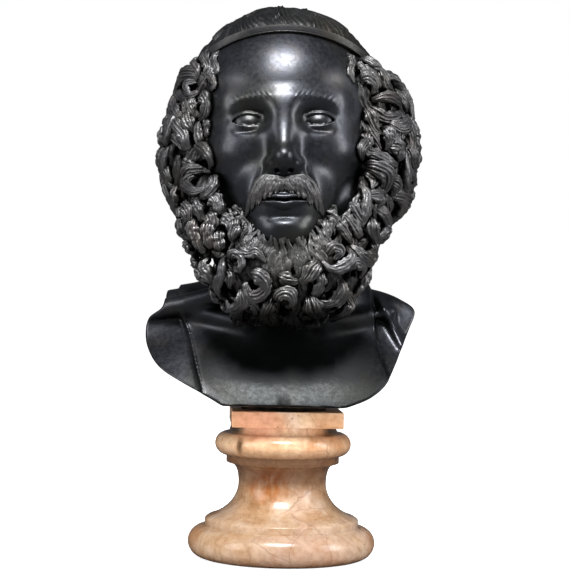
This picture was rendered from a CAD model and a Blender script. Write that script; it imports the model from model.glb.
import math
from concurrent.futures import ThreadPoolExecutor

import bpy
import numpy as np
import openvdb
from mathutils import Matrix, Vector


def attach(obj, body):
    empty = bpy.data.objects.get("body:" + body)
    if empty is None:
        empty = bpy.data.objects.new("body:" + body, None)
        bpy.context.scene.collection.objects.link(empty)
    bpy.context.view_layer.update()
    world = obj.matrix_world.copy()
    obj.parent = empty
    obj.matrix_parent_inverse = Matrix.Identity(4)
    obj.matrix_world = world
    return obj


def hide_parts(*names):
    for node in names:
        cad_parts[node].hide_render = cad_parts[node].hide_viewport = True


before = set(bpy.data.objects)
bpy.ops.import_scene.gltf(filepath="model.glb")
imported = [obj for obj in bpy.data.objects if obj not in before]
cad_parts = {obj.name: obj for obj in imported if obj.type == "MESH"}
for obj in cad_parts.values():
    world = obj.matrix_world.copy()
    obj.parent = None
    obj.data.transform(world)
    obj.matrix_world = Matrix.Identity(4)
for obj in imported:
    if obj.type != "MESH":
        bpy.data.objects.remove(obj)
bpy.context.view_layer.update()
MM = 0.001  # sizes below are in millimetres, and Blender's are in metres

# Marble socle: one stone, turned on a lathe to a torus, a fillet, a scotia, a second fillet and a smaller
# torus, with a square slab left on top, then polished. It stands free on its flat underside.
SOCLE_HEIGHT = 142.0
SOCLE_RADIUS = 89.5
LOWER_TORUS = 14.6  # radius of its round section
UPPER_TORUS = 11.0
UPPER_TORUS_HEIGHT = 108.4
UPPER_TORUS_AXIS = 54.1
NECK_RADIUS = 50.5
SLAB_FLOOR = 126.8
SLAB_WIDTH = 104.5
SLAB_TURN = 3.0  # degrees
SLAB_OFFSET = 1.5
TURNED_SIDES = 144


def only(obj):
    """Leaves one object selected and active."""
    bpy.ops.object.select_all(action="DESELECT")
    obj.select_set(True)
    bpy.context.view_layer.objects.active = obj
    return obj


def finish_with(obj, kind, **settings):
    """Adds a modifier with its settings and applies it."""
    only(obj)
    bpy.ops.object.modifier_add(type=kind)
    modifier = obj.modifiers[-1]
    for name, value in settings.items():
        setattr(modifier, name, value)
    bpy.ops.object.modifier_apply(modifier=modifier.name)


def settle_in_mesh(obj):
    """Puts the object's place, turn and size into its mesh."""
    only(obj)
    bpy.ops.object.transform_apply(location=True, rotation=True, scale=True)


def arc(centre, radius, start, end, steps):
    """Points on a round moulding, as (distance from the axis, height). Angles are in degrees."""
    angles = [math.radians(start + (end - start) * k / steps) for k in range(steps + 1)]
    return [(centre[0] + radius * math.cos(a), centre[1] + radius * math.sin(a)) for a in angles]


def hollow(a, b, c, d, steps):
    """Points on a hollow moulding, along a cubic curve from a to d, without a itself."""
    points = []
    for k in range(1, steps + 1):
        t = k / steps
        w = ((1 - t) ** 3, 3 * t * (1 - t) ** 2, 3 * t * t * (1 - t), t ** 3)
        points.append(tuple(w[0] * a[i] + w[1] * b[i] + w[2] * c[i] + w[3] * d[i] for i in (0, 1)))
    return points


def turned(name, profile, sides):
    """A lathe turning: a disc drawn up and widened or narrowed from one point of the profile to the next."""
    bpy.ops.object.select_all(action="DESELECT")
    radius, height = profile[0]
    bpy.ops.mesh.primitive_circle_add(
        vertices=sides, radius=radius * MM, fill_type="NGON", location=(0, 0, height * MM)
    )
    obj = bpy.context.object
    obj.name = name
    bpy.ops.object.mode_set(mode="EDIT")
    bpy.ops.mesh.select_all(action="SELECT")
    for next_radius, next_height in profile[1:]:
        bpy.ops.mesh.extrude_region_move(
            TRANSFORM_OT_translate={"value": (0, 0, (next_height - height) * MM)}
        )
        size = next_radius / radius
        bpy.ops.transform.resize(value=(size, size, 1), center_override=(0, 0, next_height * MM))
        radius, height = next_radius, next_height
    bpy.ops.mesh.select_all(action="SELECT")
    bpy.ops.mesh.normals_make_consistent(inside=False)
    bpy.ops.object.mode_set(mode="OBJECT")
    return obj


lower_axis = SOCLE_RADIUS - LOWER_TORUS
profile = [(lower_axis - 3, 0.0)]
profile += arc((lower_axis, LOWER_TORUS), LOWER_TORUS, -90, 90, 22)
profile += [(73.5, 2 * LOWER_TORUS + 0.4), (73.5, 36.4), (72.9, 37.0), (70.0, 39.0)]
profile += hollow((70, 39), (52, 44), (42, 58), (42, 71), 16)
profile += hollow((42, 71), (42, 80), (44, 86), (47.5, 88.5), 9)
profile += [(53.4, 90.3), (54.0, 90.9), (54.0, UPPER_TORUS_HEIGHT - UPPER_TORUS - 0.4)]
profile += arc((UPPER_TORUS_AXIS, UPPER_TORUS_HEIGHT), UPPER_TORUS, -90, 90, 20)
profile += hollow((54.1, 119.4), (51.6, 119.9), (NECK_RADIUS, 122), (NECK_RADIUS, SLAB_FLOOR + 1), 5)
socle = turned("marble_socle_stone", profile, TURNED_SIDES)
finish_with(socle, "BEVEL", width=0.5 * MM, segments=2, limit_method="ANGLE", angle_limit=math.radians(40))

bpy.ops.object.select_all(action="DESELECT")
slab_height = SOCLE_HEIGHT - SLAB_FLOOR
bpy.ops.mesh.primitive_cube_add(
    size=1,
    location=(SLAB_OFFSET * MM, 0, (SLAB_FLOOR + slab_height / 2) * MM),
    rotation=(0, 0, math.radians(SLAB_TURN)),
    scale=(SLAB_WIDTH * MM, SLAB_WIDTH * MM, slab_height * MM),
)
slab = bpy.context.object
settle_in_mesh(slab)
finish_with(slab, "BEVEL", width=1.1 * MM, segments=3)
finish_with(socle, "BOOLEAN", operation="UNION", object=slab, solver="EXACT")
bpy.data.objects.remove(slab)

# The old crack in the small torus, at the front on the viewer's left, and two chips in the slab's corners.
for place, turn, size in [
    ((-40.4, -50.6, 109.6), (8, 12, 38), (2.2, 6.0, 12.0)),
    ((-38.9, -51.4, 113.5), (30, -30, 38), (1.3, 4.0, 6.0)),
]:
    bpy.ops.object.select_all(action="DESELECT")
    bpy.ops.mesh.primitive_cylinder_add(
        vertices=7, radius=0.5, depth=1,
        location=Vector(place) * MM, rotation=[math.radians(a) for a in turn], scale=Vector(size) * MM,
    )
    chisel = bpy.context.object
    settle_in_mesh(chisel)
    finish_with(socle, "BOOLEAN", operation="DIFFERENCE", object=chisel, solver="EXACT")
    bpy.data.objects.remove(chisel)
only(socle)
bpy.ops.object.shade_smooth_by_angle(angle=math.radians(32))


def node(tree, kind, settings=None, **inputs):
    """A shader node with its settings, and its inputs as values or as the sockets that feed them."""
    made = tree.nodes.new(kind)
    for name, value in (settings or {}).items():
        setattr(made, name, value)
    for name, value in inputs.items():
        key = int(name[1:]) if name[0] == "i" and name[1:].isdigit() else name.replace("_", " ")
        socket = made.inputs[key]
        if isinstance(value, bpy.types.NodeSocket):
            tree.links.new(value, socket)
        else:
            socket.default_value = value
    return made


def ramp(tree, mask, *stops):
    """A colour ramp of (place, colour) stops over a mask."""
    made = tree.nodes.new("ShaderNodeValToRGB")
    tree.links.new(mask, made.inputs["Fac"])
    elements = made.color_ramp.elements
    while len(elements) < len(stops):
        elements.new(0.5)
    for element, (place, colour) in zip(elements, stops):
        element.position = place
        element.color = (*colour, 1) if len(colour) == 3 else (colour[0],) * 3 + (1,)
    return made.outputs["Color"]


def mixed(tree, share, a, b, blend="MIX"):
    """Two colours mixed by a share, each a colour or a socket."""
    made = tree.nodes.new("ShaderNodeMix")
    made.data_type = "RGBA"
    made.blend_type = blend
    for key, value in ((0, share), (6, a), (7, b)):
        if isinstance(value, bpy.types.NodeSocket):
            tree.links.new(value, made.inputs[key])
        else:
            made.inputs[key].default_value = (*value, 1) if key else value
    return made.outputs[2]


def new_material(name):
    material = bpy.data.materials.new(name)
    material.use_nodes = True
    return material, material.node_tree, material.node_tree.nodes["Principled BSDF"]


def polished_marble():
    material, tree, shader = new_material("polished_marble")
    place = node(tree, "ShaderNodeTexCoord").outputs["Object"]
    drift = node(tree, "ShaderNodeTexNoise", Vector=place, Scale=14.0, Detail=4.0)
    bent = node(tree, "ShaderNodeVectorMath", {"operation": "MULTIPLY_ADD"},
                i0=drift.outputs["Color"], i1=(0.06, 0.06, 0.03), i2=place).outputs[0]
    clouds = node(tree, "ShaderNodeTexNoise", Vector=bent, Scale=19.0, Detail=8.0, Roughness=0.62).outputs["Fac"]
    colour = ramp(tree, clouds, (0.32, (0.42, 0.21, 0.09)), (0.43, (0.60, 0.36, 0.19)),
                  (0.54, (0.70, 0.48, 0.31)), (0.68, (0.58, 0.31, 0.16)))
    rose = node(tree, "ShaderNodeTexNoise", Vector=bent, Scale=8.0, Detail=4.0, Roughness=0.6).outputs["Fac"]
    colour = mixed(tree, ramp(tree, rose, (0.50, (0.0,)), (0.66, (0.5,))), colour, (0.60, 0.34, 0.23))
    ochre = node(tree, "ShaderNodeTexNoise", {"noise_dimensions": "4D"}, Vector=bent, W=3.0, Scale=12.0, Detail=5.0)
    colour = mixed(tree, ramp(tree, ochre.outputs["Fac"], (0.55, (0.0,)), (0.66, (0.85,))), colour, (0.50, 0.23, 0.09))
    away = node(tree, "ShaderNodeVectorMath", {"operation": "DISTANCE"}, i0=bent, i1=(0.012, -0.012, 0.090))
    patch = ramp(tree, away.outputs["Value"], (0.014, (1.0,)), (0.023, (0.0,)))
    upright = node(tree, "ShaderNodeVectorMath", {"operation": "MULTIPLY"}, i0=bent, i1=(1.0, 1.0, 0.22)).outputs[0]
    streak = node(tree, "ShaderNodeTexNoise", Vector=upright, Scale=170.0, Detail=4.0).outputs["Fac"]
    patch = mixed(tree, ramp(tree, streak, (0.40, (0.45,)), (0.58, (1.0,))), (0, 0, 0), patch)
    colour = mixed(tree, patch, colour, (0.52, 0.19, 0.055))
    pink = node(tree, "ShaderNodeVectorMath", {"operation": "DISTANCE"}, i0=bent, i1=(0.008, -0.022, 0.150))
    colour = mixed(tree, ramp(tree, pink.outputs["Value"], (0.014, (0.8,)), (0.030, (0.0,))), colour, (0.68, 0.32, 0.19))
    slant = node(tree, "ShaderNodeVectorMath", {"operation": "DOT_PRODUCT"}, i0=bent, i1=(1.0, 0.0, 0.7))
    pale = ramp(tree, slant.outputs["Value"], (0.134, (0.0,)), (0.140, (0.85,)), (0.146, (0.0,)))
    high = ramp(tree, node(tree, "ShaderNodeSeparateXYZ", Vector=place).outputs["Z"], (0.120, (0.0,)), (0.128, (1.0,)))
    colour = mixed(tree, mixed(tree, pale, (0, 0, 0), high), colour, (0.74, 0.55, 0.42))
    mottle = node(tree, "ShaderNodeTexNoise", Vector=place, Scale=120.0, Detail=6.0, Roughness=0.7).outputs["Fac"]
    colour = mixed(tree, 1.0, colour, ramp(tree, mottle, (0.35, (0.78, 0.72, 0.66)), (0.58, (1.0,))), "MULTIPLY")
    crackle = node(tree, "ShaderNodeTexVoronoi", {"feature": "DISTANCE_TO_EDGE"}, Vector=bent, Scale=30.0)
    veins = ramp(tree, crackle.outputs["Distance"], (0.0, (1.0,)), (0.03, (0.0,)))
    some = mixed(tree, ramp(tree, rose, (0.44, (0.0,)), (0.56, (0.5,))), (0, 0, 0), veins)
    colour = mixed(tree, some, colour, (0.30, 0.15, 0.08))
    grain = node(tree, "ShaderNodeTexNoise", Vector=place, Scale=300.0, Detail=3.0).outputs["Fac"]
    pits = ramp(tree, grain, (0.66, (0.0,)), (0.73, (1.0,)))
    colour = mixed(tree, mixed(tree, 0.7, (0, 0, 0), pits), colour, (0.20, 0.10, 0.05))
    shut = node(tree, "ShaderNodeAmbientOcclusion", {"samples": 6}, Distance=0.02).outputs["AO"]
    side = node(tree, "ShaderNodeSeparateXYZ", Vector=place).outputs
    low = ramp(tree, side["Z"], (0.106, (1.0,)), (0.116, (0.15,)))
    colour = mixed(tree, low, colour, ramp(tree, shut, (0.20, (0.42, 0.34, 0.28)), (0.66, (1.0,))), "MULTIPLY")
    wide = node(tree, "ShaderNodeMath", {"operation": "ABSOLUTE"}, i0=side["X"]).outputs[0]
    corner = mixed(tree, ramp(tree, wide, (0.036, (0.0,)), (0.041, (0.95,))), (0, 0, 0),
                   ramp(tree, side["Z"], (0.1165, (0.0,)), (0.1185, (1.0,)), (0.1262, (1.0,)), (0.1268, (0.0,))))
    level = node(tree, "ShaderNodeVectorMath", {"operation": "MULTIPLY"}, i0=place, i1=(1.0, 1.0, 0.0)).outputs[0]
    from_axis = node(tree, "ShaderNodeVectorMath", {"operation": "LENGTH"}, i0=level).outputs["Value"]
    corner = mixed(tree, ramp(tree, from_axis, (0.0560, (1.0,)), (0.0590, (0.0,))), (0, 0, 0), corner)
    colour = mixed(tree, corner, colour, (0.04, 0.025, 0.015))
    throat = ramp(tree, side["Z"], (0.065, (0.0,)), (0.075, (0.75,)), (0.0895, (0.97,)), (0.0905, (0.75,)),
                  (0.0965, (0.97,)), (0.1000, (0.70,)), (0.1090, (0.0,)))
    colour = mixed(tree, throat, colour, (0.15, 0.085, 0.045), "MULTIPLY")
    worn = ramp(tree, side["Z"], (0.055, (0.75, 0.80, 0.88)), (0.095, (0.92, 0.90, 0.86)), (0.125, (1.0,)))
    colour = mixed(tree, 1.0, colour, worn, "MULTIPLY")
    near_crack = node(tree, "ShaderNodeVectorMath", {"operation": "SUBTRACT"}, i0=place, i1=(-0.0404, -0.0506, 0.1096))
    near_crack = node(tree, "ShaderNodeVectorMath", {"operation": "MULTIPLY"}, i0=near_crack.outputs[0], i1=(2.0, 1.0, 0.6))
    near_crack = node(tree, "ShaderNodeVectorMath", {"operation": "LENGTH"}, i0=near_crack.outputs[0]).outputs["Value"]
    colour = mixed(tree, ramp(tree, near_crack, (0.003, (0.7,)), (0.010, (0.0,))), colour, (0.30, 0.14, 0.05))
    colour = mixed(tree, ramp(tree, near_crack, (0.0025, (0.97,)), (0.0052, (0.0,))), colour, (0.04, 0.02, 0.01))
    tree.links.new(colour, shader.inputs["Base Color"])
    bump = node(tree, "ShaderNodeBump", {"invert": True}, Strength=0.25, Distance=0.0006, Height=pits)
    tree.links.new(bump.outputs["Normal"], shader.inputs["Normal"])
    shader.inputs["Roughness"].default_value = 0.24
    shader.inputs["Coat Weight"].default_value = 0.25
    shader.inputs["Coat Roughness"].default_value = 0.12
    return material


socle.data.materials.clear()
socle.data.materials.append(polished_marble())
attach(socle, "root")
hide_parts("marble_socle")

# Mounting plate: a dark painted iron plate between the marble and the bronze. The bust is bolted to it
# from below, and it shows as a dark line under the chest.
PLATE_WIDTH = 80.0
PLATE_DEPTH = 66.0
PLATE_THICKNESS = 3.6
JOINT_GAP = 0.3
plate_floor = SOCLE_HEIGHT + JOINT_GAP
bpy.ops.object.select_all(action="DESELECT")
bpy.ops.mesh.primitive_cube_add(
    size=1,
    location=(0, 0, (plate_floor + PLATE_THICKNESS / 2) * MM),
    scale=(PLATE_WIDTH * MM, PLATE_DEPTH * MM, PLATE_THICKNESS * MM),
)
plate = bpy.context.object
plate.name = "dark_mounting_plate"
settle_in_mesh(plate)
finish_with(plate, "BEVEL", width=0.7 * MM, segments=3)
bpy.ops.object.shade_smooth_by_angle(angle=math.radians(35))


def dark_iron():
    material, tree, shader = new_material("dark_iron")
    place = node(tree, "ShaderNodeTexCoord").outputs["Object"]
    rust = node(tree, "ShaderNodeTexNoise", Vector=place, Scale=160.0, Detail=4.0)
    tree.links.new(ramp(tree, rust.outputs["Fac"], (0.4, (0.012, 0.011, 0.010)), (0.75, (0.05, 0.035, 0.025))),
                   shader.inputs["Base Color"])
    shader.inputs["Metallic"].default_value = 0.6
    shader.inputs["Roughness"].default_value = 0.5
    return material


plate.data.materials.clear()
plate.data.materials.append(dark_iron())
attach(plate, "root")
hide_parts("mounting_plate")

# Bust, the smooth parts of the casting: face, neck and chest, with the masses under the hair and the beard.
# They are modelled as one soft body, as a sculptor would in wax, and cut to the outline of the bust.
HEAD_HEIGHT = 236.0  # crown of the skull to the chin
HEAD_TILT = 10.0  # degrees, the face raised
HEAD_ROLL = 1.7
HEAD_CENTRE = np.array([-5.0, 0.0, 396.0])
BUST_FLOOR = SOCLE_HEIGHT + PLATE_THICKNESS + 2 * JOINT_GAP
turn = Matrix.Rotation(math.radians(-HEAD_ROLL), 3, "Y") @ Matrix.Rotation(math.radians(-HEAD_TILT), 3, "X")
HEAD_AXES = np.array([turn @ Vector(v) for v in ((1, 0, 0), (0, -1, 0), (0, 0, 1))])


def length(v):
    return np.sqrt((v * v).sum(-1))


def unit(v):
    return v / np.maximum(length(v), 1e-9)[..., None]


def into_head(p):
    """To the head's own frame: x to the viewer's right, y forward out of the face, z up to the crown."""
    return (p - HEAD_CENTRE) @ HEAD_AXES.T


def out_of_head(q):
    return HEAD_CENTRE + np.asarray(q, float) @ HEAD_AXES


def ellipsoid(p, centre, radii):
    q = (p - np.array(centre)) / np.array(radii, float)
    reach = length(q)
    return reach * (reach - 1) / np.maximum(length(q / np.array(radii, float)), 1e-9)


def capsule(p, start, end, start_radius, end_radius):
    start, along = np.array(start, float), np.array(end, float) - np.array(start, float)
    t = np.clip((p - start) @ along / (along @ along), 0, 1)
    return length(p - start - t[..., None] * along) - start_radius - t * (end_radius - start_radius)


def merge(a, b, soft):
    """Two forms run into each other over a width of about soft."""
    h = np.maximum(soft - np.abs(a - b), 0) / soft
    return np.minimum(a, b) - h * h * soft / 4


def carve(a, b, soft):
    return -merge(-a, b, soft)


def step(x, low, high):
    t = np.clip((x - low) / (high - low), 0, 1)
    return t * t * (3 - 2 * t)


HALF = HEAD_HEIGHT / 2
THIRD = HEAD_HEIGHT * 0.28
BROW = -HALF + 2 * THIRD
NOSE = -HALF + THIRD
MOUTH = NOSE - THIRD / 3
EYE = HEAD_HEIGHT * 0.135  # from the midline to each eye
EYE_WIDTH = 15.2  # from the middle of the eye to each corner


def mirrored(q, middle=0.0):
    m = q.copy()
    m[..., 0] = np.abs(m[..., 0] - middle)
    return m


def skull_and_jaw(m):
    """Domed forehead, cheeks, jaw, muzzle and chin run into one another, then the brows and the sockets."""
    d = ellipsoid(m, (0, -6, 30), (94.5, 98.5, 95.5))
    d = merge(d, ellipsoid(m, (0, 26, -26), (67, 60, 64)), 30)
    d = merge(d, ellipsoid(m, (0, 28, -62), (54, 52, 52)), 24)
    d = merge(d, ellipsoid(m, (39, 49, -23), (25, 26, 18)), 22)
    d = merge(d, ellipsoid(m, (0, 56, MOUTH + 2), (36, 33, 30)), 24)
    d = merge(d, ellipsoid(m, (0, 70, -HALF + 17), (23, 21, 18)), 20)
    d = merge(d, capsule(m, (6, 82, BROW + 1), (46, 68, BROW + 6), 8, 7), 16)
    return carve(d, ellipsoid(m, (EYE - 1, 99, 1.5), (20, 22, 12.5)), 11)


def eyes(m, d):
    """A blank eyeball between an upper and a lower lid, with a crease over the upper one."""
    ball = ellipsoid(m, (EYE, 65.5, 0), (18.5, 16.5, 15))
    across = (m[..., 0] - EYE) / EYE_WIDTH
    arch = np.maximum(1 - across * across, 0)
    height = m[..., 2] - 0.5 * across
    top, bottom = 6.3 * arch ** 0.7, -4.3 * arch ** 0.85
    side = np.maximum(np.abs(across) - 1, 0) * EYE_WIDTH
    opening = np.maximum(np.maximum(height - top, bottom - height), side - 0.3)
    front = step(m[..., 1], 58, 66)
    lids = ball - 2.0 + 0.30 * np.maximum(opening - 1.5, 0)
    skin = merge(d, lids + (1 - front) * 8, 5)
    fold = np.exp(-(((height - top - 3.6) / 1.0) ** 2)) * step(1.1 - np.abs(across), 0, 0.35)
    skin = skin + 0.8 * fold * front
    window = np.maximum(opening, 62 - m[..., 1])
    skin = -merge(-skin, window, 0.9)
    return merge(skin, ball, 0.8)


MOUTH_WIDTH = 24.0  # from the midline to each corner


def nose_and_mouth(m, d):
    d = merge(d, capsule(m, (0, 81, BROW - 2), (0, 98.5, NOSE + 16), 7.5, 9), 18)
    d = merge(d, ellipsoid(m, (0, 99, NOSE + 12), (8.4, 12, 8.6)), 9)
    d = merge(d, ellipsoid(m, (11.2, 86.5, NOSE + 8), (6.0, 12, 6.6)), 5)
    d = carve(d, ellipsoid(m, (6.2, 94, NOSE + 1.6), (3.0, 6.5, 1.9)), 1.4)
    d = merge(d, ellipsoid(m, (0, 73, NOSE - 9), (26, 13, 17)), 18)
    across, z = m[..., 0], m[..., 2]
    share = np.clip(1 - (across / MOUTH_WIDTH) ** 2, 0, 1)
    parting = MOUTH - 2 - 1.2 * np.exp(-((across / 6) ** 2)) + 1.5 * (across / MOUTH_WIDTH) ** 2
    above = np.clip((z - parting) / (1.5 + 5.5 * share), 0, 1)
    under = np.clip((parting - z) / (1.5 + 7.5 * share), 0, 1)
    lips = 3.4 * share ** 0.8 * np.sin(math.pi * above ** 0.6) + 4.4 * share * np.sin(math.pi * under ** 0.7)
    line = 3.0 * np.exp(-(((z - parting) / 1.2) ** 2)) * np.clip(share * 4, 0, 1)
    chin_hollow = 3.4 * np.exp(-(((z - MOUTH + 17) / 5) ** 2) - (across / 17) ** 2)
    groove = 0.9 * np.exp(-((across / 2.6) ** 2) - ((z - NOSE + 9) / 6) ** 2)
    return d - (lips - line - chin_hollow - groove) * step(m[..., 1], 52, 66)


def crease(m, start, end, depth, width):
    """A soft crease along a line of the front view (across, up), deepest in its middle."""
    start, along = np.array(start), np.array(end) - np.array(start)
    across = m[..., [0, 2]] - start
    t = np.clip(across @ along / (along @ along), 0, 1)
    return depth * (0.3 + 0.7 * np.sin(math.pi * t)) * np.exp(-((length(across - t[..., None] * along) / width) ** 2))


def face_masses(q):
    """The face without its fine work, as the ground for the hair."""
    m = mirrored(q)
    d = skull_and_jaw(m)
    d = merge(d, ellipsoid(m, (EYE, 67, 0), (17, 15.5, 13)), 4)
    d = merge(d, capsule(m, (0, 83, BROW - 2), (0, 101, NOSE + 16), 7, 8.5), 13)
    return merge(d, ellipsoid(m, (0, 73, NOSE - 9), (26, 13, 17)), 18)


def finished_face(q):
    m = mirrored(q)
    d = eyes(m, skull_and_jaw(m))
    d = nose_and_mouth(m, d)
    beside_nose = crease(m, (17, NOSE + 10), (31, MOUTH + 2), 1.5, 2.6)
    under_eye = crease(m, (EYE - 13, -9), (EYE + 11, -11), 0.8, 1.8)
    d = d + (beside_nose + under_eye) * step(m[..., 1], 45, 60)
    along = m[..., 0]
    brow_line = BROW + 7.0 - ((along - 24) / 15) ** 2
    hairs = step(np.sin(0.9 * (m[..., 2] - brow_line) - 1.35 * along), -0.6, 1.0)
    on_brow = np.exp(-(((m[..., 2] - brow_line) / 3.4) ** 2)) * step(along, 7, 14) * step(-along, -54, -42)
    return d - 0.8 * on_brow * (0.4 + 0.6 * hairs) * step(m[..., 1], 55, 65)


def beard_mass(q):
    m = mirrored(q, -1)
    d = ellipsoid(m, (52, 20, -74), (41, 44, 48))
    d = merge(d, ellipsoid(m, (0, 40, -122), (72, 40, 56)), 24)
    return carve(d, ellipsoid(q, (0, 104, -92), (30, 34, 22)), 8)


FILLET_SLOPE = 27.0  # degrees, the fillet runs lower at the back
FILLET_FRONT = BROW + THIRD + 14.5
FILLET_TILT = math.tan(math.radians(FILLET_SLOPE))
FILLET_MIDDLE = FILLET_FRONT - 82 * FILLET_TILT


def above_fillet(q):
    return q[..., 2] - FILLET_MIDDLE - q[..., 1] * FILLET_TILT


def hair_mass(q):
    m = mirrored(q, 5)
    d = ellipsoid(m, (65, -6, -6), (52, 55, 78))
    d = merge(d, ellipsoid(m, (0, -40, -4), (96, 72, 88)), 22)
    d = merge(d, ellipsoid(m, (64, 24, 42), (31, 34, 46)), 12)
    core = ellipsoid(m, (0, -4, 28), (70, 86, HALF - 42))
    return np.minimum(carve(d, 2 - above_fillet(q), 8), core)


def torso(p):
    d = ellipsoid(p, (0, 26, 150), (174, 74, 96))
    breast = np.maximum(ellipsoid(p, (0, 24, 39), (320, 126, 182)), p[..., 1] - 40)
    d = merge(d, breast, 16)
    left = capsule(p, (0, 34, 248), (-150, 30, 224), 27, 26)
    right = capsule(p, (0, 34, 248), (150, 30, 222), 27, 26)
    d = merge(d, np.where(p[..., 0] < 0, left, right), 34)
    d = merge(d, capsule(p, (-2, 14, 345), (0, 32, 225), 58, 64), 30)
    m = mirrored(p)
    d = merge(d, capsule(m, (36, -28, 223), (102, -4, 237), 4, 6), 12)
    return carve(d, capsule(m, (0, -81, 146), (0, -66, 196), 2.4, 2), 7)


def curve_through(points, steps):
    """A smooth curve through points, with this many steps between each two."""
    p = np.array(points, float)
    p = np.vstack([2 * p[0] - p[1], p, 2 * p[-1] - p[-2]])
    t = np.linspace(0, 1, steps, endpoint=False)[:, None]
    spans = []
    for a, b, c, d in zip(p, p[1:], p[2:], p[3:]):
        spans.append(b + 0.5 * t * (c - a + t * (2 * a - 5 * b + 4 * c - d + t * (3 * (b - c) + d - a))))
    return np.vstack([*spans, p[-2:-1]])


MAP_PITCH = 1.0
MAP_X = np.arange(-160, 160.5, MAP_PITCH)
MAP_Z = np.arange(110, 340.5, MAP_PITCH)


def front_map(line, closed):
    """Distance from a line drawn on the front view (x, z). Inside a closed line it is negative."""
    grid = np.stack(np.meshgrid(MAP_X, MAP_Z, indexing="ij"), -1)
    nearest = np.full(grid.shape[:2], 1e9)
    crossings = np.zeros(grid.shape[:2], int)
    for a, b in zip(line, np.roll(line, -1, 0) if closed else line[1:]):
        along = b - a
        t = np.clip((grid - a) @ along / max(along @ along, 1e-9), 0, 1)
        nearest = np.minimum(nearest, length(grid - a - t[..., None] * along))
        spans = (a[1] > grid[..., 1]) != (b[1] > grid[..., 1])
        at = a[0] + (grid[..., 1] - a[1]) * along[0] / (along[1] if abs(along[1]) > 1e-9 else 1e-9)
        crossings += spans & (grid[..., 0] < at)
    return np.where(crossings % 2 == 1, -nearest, nearest) if closed else nearest


def read_map(values, p):
    """The map's value where a point is seen from the front."""
    x = np.clip((p[..., 0] - MAP_X[0]) / MAP_PITCH, 0, len(MAP_X) - 1.001)
    z = np.clip((p[..., 2] - MAP_Z[0]) / MAP_PITCH, 0, len(MAP_Z) - 1.001)
    i, k = x.astype(int), z.astype(int)
    u, w = x - i, z - k
    return ((values[i, k] * (1 - u) + values[i + 1, k] * u) * (1 - w)
            + (values[i, k + 1] * (1 - u) + values[i + 1, k + 1] * u) * w)


CUT_LEFT = [(-54, BUST_FLOOR), (-72, 156), (-94.5, 167), (-116, 179), (-128, 192), (-134, 207), (-132, 225), (-118, 237),
            (-116, 250)]
CUT_RIGHT = [(50, BUST_FLOOR), (62, 149.5), (80, 157), (94.5, 169), (104.5, 187), (111.5, 203), (119, 220), (124.5, 238),
             (110, 249), (86, 260), (70, 272)]
SKIN_LEFT = [(-68, 120), (-76, 160), (-83, 182), (-92, 212), (-102, 236), (-104, 250)]
SKIN_RIGHT = [(112, 120), (104, 160), (98, 175), (91, 194), (87, 212), (82, 256)]
FLAP_DEPTH = 3.2


def between(left, right, top):
    left_line, right_line = curve_through(left, 8), curve_through(right, 8)
    return np.vstack([left_line[::-1], right_line, [(right[-1][0], top), (left[-1][0], top)]])


cut_map = front_map(between(CUT_LEFT, CUT_RIGHT, 330), True)
skin_map = front_map(between(SKIN_LEFT, SKIN_RIGHT, 330), True)
left_edge = front_map(curve_through([(-103, 240), (-92, 211), (-83, 182), (-74, 150)], 10), False)
right_fold = front_map(curve_through([(90, 248), (97, 234), (111, 206)], 10), False)
UNDERCUT = math.radians(38)
UNDERCUT_START = 38.0
LIP_START = 40.0  # the front lip of the chest rises a little from here
LIP_RISE = 0.045


def chest(p):
    """Bare chest between the cloak's two edges, the cloth lying a little lower, with its hems and folds."""
    front = step(-p[..., 1], -40, 10)
    bare = step(-read_map(skin_map, p), -1.2, 1.2)
    cloth = FLAP_DEPTH * (1 - bare)
    hem = 1.6 * np.exp(-((read_map(left_edge, p) / 2.2) ** 2))
    fold = 4.4 * np.exp(-((read_map(right_fold, p) / 5.0) ** 2))
    d = torso(p) + cloth - (hem + fold) * front
    roll = capsule(p, (-131, 4, 233), (-94, -8, 240), 9, 10)
    roll = np.minimum(roll, capsule(p, (-94, -8, 240), (-52, -18, 254), 10, 8))
    d = merge(d, roll, 5)
    d = -merge(-d, -read_map(cut_map, p), 2.0)
    floor = BUST_FLOOR + np.maximum(p[..., 1] - UNDERCUT_START, 0) * math.tan(UNDERCUT)
    floor += np.maximum(-p[..., 1] - LIP_START, 0) * LIP_RISE
    return -merge(-d, (p[..., 2] - floor) * math.cos(UNDERCUT), 1.0)


UNDER_BEARD = 8.0  # how far the cast ground lies under the locks
UNDER_HAIR = 3.5


def smooth_parts(p):
    q = into_head(p)
    head = merge(merge(finished_face(q), beard_mass(q) + UNDER_BEARD, 8), hair_mass(q) + UNDER_HAIR, 3)
    return merge(head, chest(p), 4)


WORKERS = 4


def measured(form, p):
    """The form's distances at many points, worked out in a few strands at once."""
    parts = np.array_split(p, max(WORKERS, len(p) // 60000 + 1))
    with ThreadPoolExecutor(WORKERS) as pool:
        return np.concatenate(list(pool.map(form, parts)))


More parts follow.
